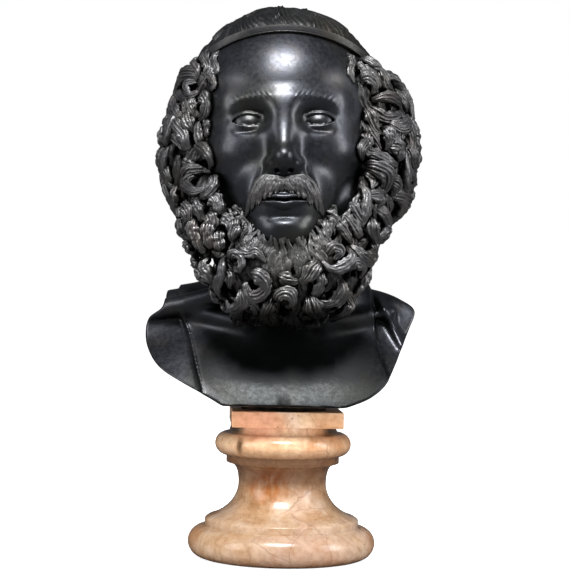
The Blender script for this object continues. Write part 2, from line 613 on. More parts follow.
def cast(name, form, low, high, pitch):
    """The surface of a form as a mesh, from its distances on a grid that is fine only near the surface."""
    cells = 9
    low = np.array(low, float)
    count = np.ceil((np.array(high) - low) / (pitch * cells)).astype(int)
    base = np.stack(np.meshgrid(*[np.arange(n) for n in count], indexing="ij"), -1).reshape(-1, 3) * cells
    values = np.empty(count * cells, np.float32)
    size = cells
    keep = base
    limit = 3 * pitch
    while True:
        d = measured(form, low + (keep + (size - 1) / 2) * pitch)
        if size == cells:
            coarse = np.clip(d, -limit, limit).reshape(count)
            values[:] = np.repeat(np.repeat(np.repeat(coarse, cells, 0), cells, 1), cells, 2)
        else:
            spread = np.stack(np.meshgrid(*[np.arange(size)] * 3, indexing="ij"), -1).reshape(-1, 3)
            at = (keep[:, None] + spread).reshape(-1, 3)
            values[at[:, 0], at[:, 1], at[:, 2]] = np.repeat(np.clip(d, -limit, limit), len(spread))
        if size == 1:
            break
        near = np.abs(d) < size * pitch * 0.87 * 1.35 + pitch
        size //= 3
        spread = np.stack(np.meshgrid(*[np.arange(3)] * 3, indexing="ij"), -1).reshape(-1, 3) * size
        keep = (keep[near][:, None] + spread).reshape(-1, 3)
    grid = openvdb.FloatGrid(limit)
    grid.copyFromArray(values)
    points, quads = grid.convertToQuads(0.0)
    mesh = bpy.data.meshes.new(name)
    points = (points * pitch + low) * MM
    mesh.vertices.add(len(points))
    mesh.vertices.foreach_set("co", points.astype(np.float32).ravel())
    mesh.loops.add(quads.size)
    mesh.loops.foreach_set("vertex_index", quads.astype(np.int32).ravel())
    mesh.polygons.add(len(quads))
    mesh.polygons.foreach_set("loop_start", np.arange(0, quads.size, 4, dtype=np.int32))
    mesh.update(calc_edges=True)
    mesh.validate()
    obj = bpy.data.objects.new(name, mesh)
    bpy.context.scene.collection.objects.link(obj)
    return obj


BODY_PITCH = 1.15
body = cast("bronze_face_and_chest", smooth_parts, (-142, -118, 143), (132, 122, 520), BODY_PITCH)
finish_with(body, "DECIMATE", ratio=0.31)
bpy.ops.object.shade_smooth()


def patina_group():
    """Colour, roughness and relief of old patinated bronze: dark and waxed, greenish in the hollows, and
    rubbed a little brighter on what stands out."""
    group = bpy.data.node_groups.new("bronze_patina", "ShaderNodeTree")
    for name, kind, value in [
        ("Dark colour", "NodeSocketColor", (0.085, 0.085, 0.092, 1)),
        ("Hollow colour", "NodeSocketColor", (0.008, 0.009, 0.008, 1)),
        ("Rubbed colour", "NodeSocketColor", (0.20, 0.185, 0.165, 1)),
        ("Green colour", "NodeSocketColor", (0.060, 0.062, 0.036, 1)),
        ("Brown colour", "NodeSocketColor", (0.100, 0.075, 0.058, 1)),
        ("Smooth roughness", "NodeSocketFloat", 0.34),
        ("Rough roughness", "NodeSocketFloat", 0.48),
        ("Relief", "NodeSocketFloat", 0.12),
        ("Shelter", "NodeSocketFloat", 0.8),
    ]:
        socket = group.interface.new_socket(name, in_out="INPUT", socket_type=kind)
        socket.default_value = value
    for name, kind in [("Colour", "NodeSocketColor"), ("Roughness", "NodeSocketFloat"), ("Wax", "NodeSocketFloat"),
                       ("Normal", "NodeSocketVector")]:
        group.interface.new_socket(name, in_out="OUTPUT", socket_type=kind)
    given = group.nodes.new("NodeGroupInput").outputs
    place = node(group, "ShaderNodeTexCoord").outputs["Object"]
    shut = node(group, "ShaderNodeAmbientOcclusion", {"samples": 6}, Distance=0.016)
    hollow_mask = ramp(group, shut.outputs["AO"], (0.35, (1.0,)), (0.80, (0.0,)))
    edge = node(group, "ShaderNodeNewGeometry").outputs["Pointiness"]
    rubbed_mask = ramp(group, edge, (0.52, (0.0,)), (0.62, (1.0,)))
    cloud = node(group, "ShaderNodeTexNoise", Vector=place, Scale=38.0, Detail=5.0, Roughness=0.6).outputs["Fac"]
    colour = mixed(group, ramp(group, cloud, (0.35, (0.0,)), (0.7, (0.5,))), given["Dark colour"], given["Hollow colour"])
    green = node(group, "ShaderNodeTexNoise", {"noise_dimensions": "4D"}, Vector=place, W=2.0, Scale=16.0, Detail=5.0)
    green = ramp(group, green.outputs["Fac"], (0.52, (0.0,)), (0.68, (0.75,)))
    colour = mixed(group, green, colour, given["Green colour"])
    brown = node(group, "ShaderNodeTexNoise", {"noise_dimensions": "4D"}, Vector=place, W=7.0, Scale=33.0, Detail=4.0)
    brown = ramp(group, brown.outputs["Fac"], (0.52, (0.0,)), (0.66, (0.7,)))
    colour = mixed(group, brown, colour, given["Brown colour"])
    colour = mixed(group, hollow_mask, colour, given["Hollow colour"])
    colour = mixed(group, mixed(group, 0.5, (0, 0, 0), rubbed_mask), colour, given["Rubbed colour"])
    around = node(group, "ShaderNodeAmbientOcclusion", {"samples": 4}, Distance=0.07)
    sheltered = ramp(group, around.outputs["AO"], (0.30, (1.0,)), (0.66, (0.0,)))
    from_beard = node(group, "ShaderNodeVectorMath", {"operation": "SUBTRACT"}, i0=place, i1=(0.008, -0.070, 0.190))
    from_beard = node(group, "ShaderNodeVectorMath", {"operation": "MULTIPLY"}, i0=from_beard.outputs[0], i1=(9, 9, 17))
    from_beard = node(group, "ShaderNodeVectorMath", {"operation": "LENGTH"}, i0=from_beard.outputs[0]).outputs["Value"]
    sheltered = mixed(group, 1.0, sheltered, ramp(group, from_beard, (0.80, (1.0,)), (1.22, (0.0,))), "LIGHTEN")
    dull = mixed(group, given["Shelter"], (0, 0, 0), sheltered)
    colour = mixed(group, dull, colour, given["Hollow colour"])
    wax = node(group, "ShaderNodeMix", {"data_type": "FLOAT"}, i0=dull, i2=0.3, i3=0.03).outputs[0]
    fine = node(group, "ShaderNodeTexNoise", Vector=place, Scale=260.0, Detail=4.0, Roughness=0.6).outputs["Fac"]
    share = ramp(group, fine, (0.40, (0.0,)), (0.65, (1.0,)))
    rough = node(group, "ShaderNodeMix", {"data_type": "FLOAT"}, i0=share, i2=given["Smooth roughness"],
                 i3=given["Rough roughness"]).outputs[0]
    chased = node(group, "ShaderNodeTexNoise", Vector=place, Scale=420.0, Detail=3.0, Roughness=0.5).outputs["Fac"]
    bump = node(group, "ShaderNodeBump", Strength=given["Relief"], Distance=0.0008, Height=chased)
    sink = group.nodes.new("NodeGroupOutput").inputs
    for name, socket in (("Colour", colour), ("Roughness", rough), ("Wax", wax), ("Normal", bump.outputs["Normal"])):
        group.links.new(socket, sink[name])
    return group


patina = patina_group()


def patinated_bronze(name, dark, rubbed, green, brown, smooth, rough, relief, shelter):
    material, tree, shader = new_material(name)
    made = tree.nodes.new("ShaderNodeGroup")
    made.node_tree = patina
    for key, value in (("Dark colour", (*dark, 1)), ("Rubbed colour", (*rubbed, 1)), ("Green colour", (*green, 1)),
                       ("Brown colour", (*brown, 1)), ("Smooth roughness", smooth), ("Rough roughness", rough),
                       ("Relief", relief), ("Shelter", shelter)):
        made.inputs[key].default_value = value
    tree.links.new(made.outputs["Colour"], shader.inputs["Base Color"])
    tree.links.new(made.outputs["Roughness"], shader.inputs["Roughness"])
    tree.links.new(made.outputs["Wax"], shader.inputs["Coat Weight"])
    tree.links.new(made.outputs["Normal"], shader.inputs["Normal"])
    shader.inputs["Metallic"].default_value = 0.92
    shader.inputs["Coat Roughness"].default_value = 0.22
    return material


skin_bronze = patinated_bronze("patinated_bronze", (0.067, 0.070, 0.083), (0.155, 0.152, 0.160), (0.060, 0.062, 0.050),
                               (0.078, 0.072, 0.070), 0.33, 0.46, 0.10, 0.85)
hair_bronze = patinated_bronze("patinated_bronze_hair", (0.170, 0.168, 0.174), (0.40, 0.39, 0.385),
                               (0.134, 0.133, 0.122), (0.178, 0.158, 0.146), 0.45, 0.62, 0.55, 0.6)
deep_bronze = patinated_bronze("patinated_bronze_under_locks", (0.085, 0.084, 0.087), (0.22, 0.21, 0.20),
                               (0.070, 0.070, 0.060), (0.095, 0.082, 0.074), 0.48, 0.64, 0.55, 0.6)


def cast_in_bronze(piece, bronze):
    piece.data.materials.clear()
    piece.data.materials.append(bronze)
    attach(piece, "root")
    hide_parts("bronze_bust")


cast_in_bronze(body, skin_bronze)

# Crown hair: combed down all round from the crown to the fillet in fine wavy strands that overlap in
# clumps, with a small tuft across the crown. It is part of the casting.
CROWN = HALF + 15
CAP_MIDDLE = np.array([1.0, -6.0, 30.0])
CAP_RADII = np.array([98.0, 100.0, CROWN - 30])
TUFT = -5.5  # the small tuft's place across the crown
STRANDS_ROUND = 560
STRAND_RINGS = 150
rng = np.random.default_rng(7)


def vertices_of(obj):
    co = np.empty(len(obj.data.vertices) * 3, np.float32)
    obj.data.vertices.foreach_get("co", co)
    return co.reshape(-1, 3).astype(float)


def move_vertices(obj, places):
    obj.data.vertices.foreach_set("co", np.asarray(places, np.float32).ravel())
    obj.data.update()


def wander(t, seed, octaves=3):
    """A smooth random line that repeats after one turn of t."""
    draw = np.random.default_rng(seed)
    total = np.zeros_like(t)
    for k in range(1, 4 * octaves, 2):
        total += np.sin(k * t + draw.uniform(0, 6.28)) * draw.uniform(0.4, 1) / k ** 0.6
    return total


def combed_crown():
    bpy.ops.object.select_all(action="DESELECT")
    bpy.ops.mesh.primitive_uv_sphere_add(segments=STRANDS_ROUND, ring_count=STRAND_RINGS, radius=1, location=(0, 0, 0))
    crown = bpy.context.object
    crown.name = "bronze_crown_hair"
    sphere = vertices_of(crown)
    polar = np.arccos(np.clip(sphere[:, 2], -1, 1))
    azimuth = np.arctan2(sphere[:, 0], sphere[:, 1])
    fall = np.clip(polar / (math.pi * 0.55), 0, 1)
    # Clumps lie over one another like shingles, and each is combed into wavy strands.
    bend = 0.26 * np.sin(8 * fall + wander(azimuth, 3)) + 0.45 * fall
    course = (azimuth + bend * (1 - 0.4 * fall)) / (2 * math.pi)
    clump = 23 * course + 0.8 * wander(azimuth, 5) * fall
    strand = 92 * course + 0.9 * np.sin(15 * fall + wander(course * 6.28, 8))
    ridges = np.abs(np.sin(math.pi * strand)) ** 0.7
    patch = 0.5 + 0.5 * np.sin(11 * fall + 2 * wander(azimuth, 21)) * np.sin(9 * azimuth + 5 * fall)
    tiers = (3.4 * fall + 0.25 * wander(azimuth * 2, 11) + 0.5 * np.floor(clump)) % 1.0
    lift = 2.2 * (clump % 1.0) * step(fall, 0.05, 0.3) + (0.7 + 1.1 * patch) * ridges * step(fall, 0.02, 0.1) + 1.8 * tiers * patch
    inner = CAP_RADII - 3.0
    places = CAP_MIDDLE + sphere * inner
    lift *= step(above_fillet(places), 0, 14)
    across = (places[:, 0] - TUFT) / 9
    lift += (3.4 - 0.8 * ridges) * np.exp(-across ** 4 - (places[:, 1] / 30) ** 2) * step(sphere[:, 2], 0.5, 0.9)
    places += unit(sphere / inner) * lift[:, None]
    move_vertices(crown, out_of_head(places) * MM)
    return crown


crown = combed_crown()
crown_bronze = patinated_bronze("patinated_bronze_crown", (0.046, 0.046, 0.049), (0.14, 0.13, 0.12),
                                (0.046, 0.047, 0.038), (0.070, 0.060, 0.052), 0.48, 0.64, 0.35, 0.5)
only(crown)
bpy.ops.object.mode_set(mode="EDIT")
bpy.ops.mesh.select_all(action="SELECT")
cut_point = out_of_head((0, 0, FILLET_MIDDLE - 1)) * MM
cut_normal = np.array([0, -FILLET_TILT, 1.0]) @ HEAD_AXES
bpy.ops.mesh.bisect(plane_co=cut_point, plane_no=cut_normal, use_fill=True, clear_inner=True)
bpy.ops.mesh.select_all(action="SELECT")
bpy.ops.mesh.normals_make_consistent(inside=False)
bpy.ops.object.mode_set(mode="OBJECT")
finish_with(crown, "TRIANGULATE")
bpy.ops.object.shade_smooth()
cast_in_bronze(crown, crown_bronze)

# Fillet: a flat band bound round the hair, with a thin rolled lower edge that catches the light.
BAND_WIDTH = 7.0
BAND_PROUD = 1.0
BAND_ROLL = 0.75
BAND_STEPS = 220


def form_under_band(p):
    q = into_head(p)
    return np.minimum(face_masses(q), ellipsoid(q, CAP_MIDDLE, CAP_RADII))


def reach(form, start, way, far):
    """Where rays that start inside a form leave it."""
    inner, outer = np.zeros(len(way)), np.full(len(way), float(far))
    for _ in range(26):
        middle = (inner + outer) / 2
        inside = form(start + way * middle[:, None]) < 0
        inner, outer = np.where(inside, middle, inner), np.where(inside, outer, middle)
    return start + way * outer[:, None]


def fillet_band():
    section = [(-5.0, -BAND_WIDTH / 2 - 0.6), (-5.0, BAND_WIDTH / 2), (BAND_PROUD + 0.2, BAND_WIDTH / 2)]
    section += [(BAND_PROUD + 0.5, BAND_WIDTH / 2 - 0.5), (BAND_PROUD - 0.5, 0.6), (BAND_PROUD - 2.3, -BAND_WIDTH / 2 + 1.3)]
    centre = (BAND_PROUD - 2.2, -BAND_WIDTH / 2 + 0.3)
    section += [(centre[0] + BAND_ROLL * 1.2 * math.cos(a), centre[1] + BAND_ROLL * math.sin(a))
                for a in np.radians([70, 35, 0, -35, -70, -110])]
    bpy.ops.object.select_all(action="DESELECT")
    bpy.ops.mesh.primitive_torus_add(
        major_segments=BAND_STEPS, minor_segments=len(section), major_radius=1, minor_radius=0.3
    )
    band = bpy.context.object
    band.name = "bronze_fillet"
    turns = 2 * math.pi * np.arange(BAND_STEPS) / BAND_STEPS
    flat = np.stack([np.sin(turns), np.cos(turns), FILLET_TILT * np.cos(turns)], -1)
    start = out_of_head((0, 0, FILLET_MIDDLE))
    ways = unit(flat) @ HEAD_AXES
    rim = reach(form_under_band, start, ways, 170)
    rise = unit(np.array([0, -FILLET_TILT, 1.0])) @ HEAD_AXES
    out = unit(ways - (ways @ rise)[:, None] * rise)
    section = np.array(section)
    places = rim[:, None] + out[:, None] * section[None, :, :1] + rise * section[None, :, 1:]
    move_vertices(band, places.reshape(-1, 3) * MM)
    bpy.ops.object.mode_set(mode="EDIT")
    bpy.ops.mesh.select_all(action="SELECT")
    bpy.ops.mesh.normals_make_consistent(inside=False)
    bpy.ops.object.mode_set(mode="OBJECT")
    bpy.ops.object.shade_smooth_by_angle(angle=math.radians(50))
    return band


cast_in_bronze(fillet_band(), crown_bronze)

# Locks of the hair and the beard: thick S-shaped and hooked locks in overlapping rows, deeply undercut
# between, each chased with grooves along its length. They are part of the casting.
FRONT_LOCK = (24, 44)  # steps along a lock and sides round it
BROAD_LOCK = (20, 26)
FINE_LOCK = (12, 12)


def straight_lock(steps, sides):
    """One straight lock, a tube with rings from root to tip, modelled once. Each real lock is a bent copy."""
    bpy.ops.object.select_all(action="DESELECT")
    bpy.ops.mesh.primitive_circle_add(vertices=sides, radius=1, fill_type="NGON", location=(0, 0, 0))
    obj = bpy.context.object
    bpy.ops.object.mode_set(mode="EDIT")
    bpy.ops.mesh.select_all(action="SELECT")
    for _ in range(steps):
        bpy.ops.mesh.extrude_region_move(TRANSFORM_OT_translate={"value": (0, 0, 1)})
    bpy.ops.mesh.select_all(action="SELECT")
    bpy.ops.mesh.normals_make_consistent(inside=False)
    bpy.ops.object.mode_set(mode="OBJECT")
    finish_with(obj, "TRIANGULATE")
    places = vertices_of(obj)
    ring = np.rint(places[:, 2]).astype(int)
    share = (np.arctan2(places[:, 1], places[:, 0]) / (2 * math.pi)) % 1.0
    faces = np.empty(len(obj.data.polygons) * 3, np.int32)
    obj.data.polygons.foreach_get("vertices", faces)
    bpy.data.objects.remove(obj)
    return steps, ring, share, faces.reshape(-1, 3)


front_lock = straight_lock(*FRONT_LOCK)
broad_lock = straight_lock(*BROAD_LOCK)
fine_lock = straight_lock(*FINE_LOCK)


def slope_of(form, p):
    shifts = np.eye(3) * 0.7
    return unit(np.stack([form(p + s) - form(p - s) for s in shifts], -1))


def ground(p):
    """What the locks lie on."""
    q = into_head(p)
    return merge(merge(face_masses(q), hair_mass(q), 4), beard_mass(q), 4)


def turned_about(v, axis, angle):
    return v * np.cos(angle)[:, None] + np.cross(axis, v) * np.sin(angle)[:, None]


def creep(roots, heading, size, curl, rise, steps):
    """Paths that start at roots and creep over the ground. Heading is in degrees from straight down to the
    viewer's right, and curl is how far each path has turned at its tip, ever faster towards it."""
    at = roots
    out = slope_of(ground, at)
    down = np.array([0, 0, -1.0]) - out * (-out[:, 2:3])
    way = turned_about(unit(down), out, np.radians(heading))
    stride = (size / steps)[:, None]
    path, outs = [], []
    for k in range(steps + 1):
        s = k / steps
        path.append(at)
        outs.append(out)
        level = rise * np.sin(math.pi * min(1, 0.12 + s))
        ahead = at + way * stride
        for _ in range(2):
            ahead = ahead - out * (ground(ahead) - level)[:, None]
        out = slope_of(ground, ahead)
        way = ahead - at
        way = unit(way - out * (way * out).sum(-1)[:, None])
        bend = np.radians(curl) * ((s + 1 / steps) ** 1.6 - s ** 1.6 - 0.55 * math.sin(2 * math.pi * s) / steps)
        way = turned_about(way, out, bend)
        at = ahead
    return np.stack(path, 1), np.stack(outs, 1)


LUMPS = 0.75  # how far the modelled wax rises and sinks, about every 6 mm
waves = np.random.default_rng(31).normal(size=(9, 3))
waves *= 2 * math.pi / 6.0 / length(waves)[:, None] * np.linspace(0.6, 1.5, 9)[:, None]


def uneven(p):
    """A smooth random field over space, between about -1 and 1."""
    return sum(np.sin(p @ wave + 2.4 * k) for k, wave in enumerate(waves)) / 3


def lock_mesh(name, template, paths, outs, girth, strands, roll):
    """Bends a copy of the straight lock along each path. Its upper side is grooved into strands."""
    steps, ring, share, lock_faces = template
    s = ring / steps
    swell = (0.3 + 0.7 * np.sin(math.pi * np.minimum(0.5, 1.3 * s))) * (1 - 0.74 * step(s, 0.5, 1.05))
    swell = swell * np.where(ring == steps, 0.3, 1.0)
    phase = girth[:, None] * 7.3 + roll[:, None]
    top = share < 0.74
    a = np.where(top, np.cos(math.pi * share / 0.74), -np.cos(math.pi * (share - 0.74) / 0.26))
    b = np.where(top, 1, -1) * np.sqrt(np.maximum(1 - a * a, 0))
    along = unit(np.gradient(paths, axis=1))
    across = unit(np.cross(outs, along))
    up = np.cross(along, across)
    n = strands[:, None]
    drift = 0.24 * np.sin(3.6 * s[None] + n * 2.1 + phase)
    over = (a[None] + drift + 1) / 2
    groove = (1 - np.abs(np.sin(math.pi * n * over))) ** 1.2
    split = np.exp(-((over - 0.5 - 0.12 * np.sin(phase)) / 0.10) ** 2)
    depth = np.where(top, 1.0, 0.0)[None] * (0.30 * groove + 0.22 * split) * step(s, 0.02, 0.15)[None]
    depth = depth * (1 - 0.4 * step(s, 0.6, 1))[None]
    lumps = 1 + 0.10 * np.sin(9 * s[None] + phase) + 0.07 * np.sin(17 * s[None] + 2 * phase + 3 * a[None])
    blunt = 0.28 * (0.5 + 0.5 * np.sin(5 * phase)) * step(s, 0.55, 0.95)[None] * (ring < steps)[None]
    size = girth[:, None] * (swell[None] * lumps + blunt)
    flat = 0.66
    x = a[None] * size * (1 - 0.25 * depth)
    y = b[None] * size * flat * (1 - depth)
    tilt = np.radians(roll)[:, None] * np.sin(math.pi * s)[None]
    x, y = x * np.cos(tilt) - y * np.sin(tilt), x * np.sin(tilt) + y * np.cos(tilt)
    around = across[:, ring] * x[..., None] + up[:, ring] * y[..., None]
    places = paths[:, ring] + around * (1 + LUMPS / girth[:, None, None] * uneven(paths[:, ring] + around)[..., None])
    faces = lock_faces[None] + (np.arange(len(paths)) * len(ring))[:, None, None]
    mesh = bpy.data.meshes.new(name)
    mesh.from_pydata((places.reshape(-1, 3) * MM).tolist(), [], faces.reshape(-1, 3).tolist())
    mesh.update()
    obj = bpy.data.objects.new(name, mesh)
    bpy.context.scene.collection.objects.link(obj)
    only(obj)
    bpy.ops.object.mode_set(mode="EDIT")
    bpy.ops.mesh.select_all(action="SELECT")
    bpy.ops.mesh.normals_make_consistent(inside=False)
    bpy.ops.object.mode_set(mode="OBJECT")
    bpy.ops.object.shade_smooth()
    return obj


def towards(azimuth, elevation):
    flat = np.cos(np.radians(elevation))
    return np.stack([np.sin(np.radians(azimuth)) * flat, -np.cos(np.radians(azimuth)) * flat,
                     np.sin(np.radians(elevation)) + 0 * azimuth], -1)


def rows_of_locks(centre, rows, draw):
    """Roots and styles of rows of locks: elevation at the side, how far the row slopes with the fillet, first
    and last azimuth, count, length, girth, rise."""
    all_rows = []
    for number, (elevation, lean_by, first, last, count, size, girth, rise) in enumerate(rows):
        azimuth = np.linspace(first, last, count) + draw.uniform(-2.5, 2.5, count)
        hand = np.where((np.arange(count) + number) % 2 == 0, -1.0, 1.0)
        rise_to_front = lean_by * FILLET_TILT * np.cos(np.radians(azimuth))
        lifted = np.degrees(np.arctan(math.tan(math.radians(elevation)) + rise_to_front))
        way = towards(azimuth, lifted + draw.uniform(-3, 3, count))
        roots = reach(ground, out_of_head(centre), way, 220)
        all_rows.append(dict(
            roots=roots, azimuth=azimuth, hand=hand,
            size=size * draw.uniform(0.75, 1.15, count), girth=girth * draw.uniform(0.8, 1.15, count),
            rise=rise + draw.uniform(-1.5, 1.5, count),
        ))
    return {key: np.concatenate([row[key] for row in all_rows]) for key in all_rows[0]}


def locks(name, centre, rows, fan, curl, draw):
    row = rows_of_locks(centre, rows, draw)
    count = len(row["hand"])
    heading = fan * np.sin(np.radians(row["azimuth"])) + row["hand"] * draw.uniform(8, 40, count)
    turns = -row["hand"] * curl * draw.uniform(0.55, 1.25, count)
    paths, outs = creep(row["roots"], heading, row["size"], turns, row["rise"], BROAD_LOCK[0])
    strands = draw.integers(3, 5, count).astype(float)
    return lock_mesh(name, broad_lock, paths, outs, row["girth"], strands, draw.uniform(-32, 32, count))


CAMERA_PLACE = np.array([-1.1, -1700.0, 260.1])
CAMERA_ROLL = math.radians(1.15)
VIEW_RIGHT = np.array([math.cos(CAMERA_ROLL), 0, math.sin(CAMERA_ROLL)])
VIEW_UP = np.array([-math.sin(CAMERA_ROLL), 0, math.cos(CAMERA_ROLL)])


def thrown_on(form, view):
    """Where the camera's rays through points of the front view first meet a form, or pass closest to it."""
    ahead = np.array([0, -CAMERA_PLACE[1], 0])
    target = CAMERA_PLACE + ahead + view[..., :1] * VIEW_RIGHT + (view[..., 1:] - CAMERA_PLACE[2]) * VIEW_UP
    way = unit(target - CAMERA_PLACE)
    spacing = 2.5
    depths = np.arange(-135, 75, spacing)
    far = form(target[..., None, :] + way[..., None, :] * depths[:, None])
    inside = far < 0
    met = inside.any(-1)
    index = np.where(met, np.maximum(inside.argmax(-1), 1), far.argmin(-1))
    here = np.take_along_axis(far, index[..., None], -1)[..., 0]
    before = np.take_along_axis(far, np.maximum(index - 1, 0)[..., None], -1)[..., 0]
    back = np.where(met, spacing * here / np.minimum(here - before, -1e-6), 0)
    return target + way * (depths[index] - back)[..., None]


HOOK_HOLLOW = 0.62  # a lock is never wider than this share of its own bend, so its hook stays open


def placed_locks(name, template, rows, fullness, draw):
    """Locks drawn by hand on the front view: half width, height above the ground, points from root to tip."""
    steps = template[0]
    views = []
    for _, _, *points in rows:
        line = curve_through(points, 10)
        run = np.concatenate([[0], np.cumsum(length(np.diff(line, axis=0)))])
        even = np.linspace(0, run[-1], steps + 1)
        views.append(np.stack([np.interp(even, run, line[:, k]) for k in (0, 1)], -1))
    paths = thrown_on(ground, np.array(views))
    for _ in range(3):
        inner = (paths[:, :-2] + 2 * paths[:, 1:-1] + paths[:, 2:]) / 4
        paths[:, 1:-1, 1] = inner[..., 1]
    flat_paths = paths.reshape(-1, 3)
    outs = slope_of(ground, flat_paths)
    flat_paths = flat_paths - outs * np.maximum(ground(flat_paths) - 2, 0)[:, None]
    paths, outs = flat_paths.reshape(paths.shape), outs.reshape(paths.shape)
    s = np.arange(steps + 1) / steps
    girth, rise = np.array([row[:2] for row in rows], float).T
    turning = [length(np.diff(unit(np.diff(view, axis=0)), axis=0)).sum() for view in views]
    runs = np.array([length(np.diff(view, axis=0)).sum() for view in views])
    girth = np.minimum(girth * fullness, HOOK_HOLLOW * runs / np.maximum(turning, 0.3))
    lift = rise[:, None] * (step(s, 0, 0.3) - 0.5 * step(s, 0.7, 1)) - 1.5 * (1 - step(s, 0, 0.2))
    paths = paths + outs * lift[..., None]
    strands = np.clip(np.rint(girth / 1.6), 2, 5) if steps == FRONT_LOCK[0] else np.full(len(rows), 1.5)
    return lock_mesh(name, template, paths, outs, girth, strands, draw.uniform(-25, 25, len(rows)))


HAIR_CENTRE = (0, -8, -6)
BEARD_CENTRE = (0, 22, -92)
hair_rows = [(26, 1, 54, 306, 22, 46, 8.0, -2), (15, 0.9, 58, 302, 20, 48, 8.0, -2), (3, 0.7, 52, 308, 20, 48, 8.0, -2),
             (-8, 0.5, 54, 306, 20, 48, 8.0, -2), (-20, 0.3, 52, 308, 20, 46, 8.0, -2), (-32, 0.1, 56, 304, 16, 44, 8.0, -2),
             (-44, 0, 80, 280, 12, 42, 8, -2)]
over_rows = [(26, 1, 78, 282, 15, 52, 7.8, 4), (12, 0.8, 74, 286, 15, 54, 8.0, 5), (-4, 0.5, 76, 284, 15, 54, 8.0, 5),
             (-19, 0.3, 74, 286, 15, 52, 8.0, 5), (-34, 0.1, 80, 280, 13, 48, 7.4, 4)]
cast_in_bronze(locks("bronze_hair_under", HAIR_CENTRE, hair_rows, 20, 120, rng), deep_bronze)
cast_in_bronze(locks("bronze_hair_over", HAIR_CENTRE, over_rows, 20, 210, rng), hair_bronze)
beard_under = [(20, 0, -84, -50, 4, 36, 6, -2), (20, 0, 50, 84, 4, 36, 6, -2), (-2, 0, -84, -34, 5, 38, 6, -2),
               (-2, 0, 34, 84, 5, 38, 6, -2), (-22, 0, -84, 84, 14, 38, 6, -2), (-42, 0, -80, 80, 12, 36, 6, -2),
               (-62, 0, -80, 80, 8, 32, 6, -2)]
cast_in_bronze(locks("bronze_beard_under", BEARD_CENTRE, beard_under, -18, 120, rng), deep_bronze)

left_hair = [
    (4.2, 2, (-70, 486), (-76, 477), (-72, 468), (-77, 459)), (4.4, 3, (-79, 478), (-85, 470), (-81, 462), (-85, 455)),
    (3.2, 1, (-63, 486), (-68, 476), (-65, 466), (-69, 457)), (3.6, 2, (-66, 470), (-70, 461), (-66, 452), (-71, 446)),
    (4, 5, (-82, 457), (-90, 451), (-87, 442), (-81, 445)),
    (5.5, 5, (-75, 460), (-89, 462), (-99, 452), (-97, 440), (-87, 437)),
    (5, 4, (-79, 447), (-73, 436), (-74, 424), (-81, 420)), (4.2, 5, (-86, 441), (-85, 430), (-81, 421)),
    (5, 3, (-91, 441), (-103, 443), (-109, 437), (-108, 425)), (5, 5, (-101, 440), (-102, 430), (-98, 421), (-91, 424)),
    (4.2, 5, (-92, 438), (-91, 428), (-94, 420)), (5, 3, (-110, 427), (-112, 417), (-106, 405), (-97, 390)),
    (5, 6, (-103, 423), (-99, 411), (-93, 401), (-91, 388)), (5.5, 3, (-115, 414), (-120, 403), (-114, 391)),
    (5, 6, (-92, 427), (-89, 416), (-84, 405)), (6, 3, (-82, 418), (-80, 406), (-77, 391)),
    (4, 2, (-74, 421), (-73, 411), (-74, 401)), (6, 4, (-119, 395), (-117, 382), (-110, 369), (-107, 359)),
    (4, 2, (-98, 381), (-90, 375), (-81, 373)), (5, 3, (-87, 393), (-76, 391), (-69, 381), (-71, 371)),
    (4.5, 5, (-96, 360), (-90, 370), (-80, 371), (-69, 369)),
    (4.6, 6, (-77, 366), (-87, 366), (-92, 356), (-84, 348), (-74, 351)),
    (4.4, 5, (-69, 367), (-67, 355), (-73, 345), (-80, 345)), (6, 4, (-115, 364), (-108, 351), (-103, 338), (-99, 326)),
    (5, 3, (-112, 366), (-116, 355), (-112, 344)), (4.6, 7, (-103, 356), (-99, 344), (-97, 334)),
    (5, 2, (-108, 339), (-108, 329), (-101, 323)), (5.2, 5, (-95, 340), (-89, 329), (-87, 316)),
    (4.6, 4, (-86, 341), (-80, 331), (-76, 321)), (5.4, 3, (-72, 346), (-65, 340), (-59, 327)),
    (5, 5, (-74, 330), (-68, 321), (-70, 306)), (5.4, 3, (-99, 327), (-97, 315), (-90, 304)),
    (5.6, 5, (-85, 325), (-84, 313), (-78, 302)), (4.6, 4, (-61, 327), (-54, 321), (-49, 310)),
]
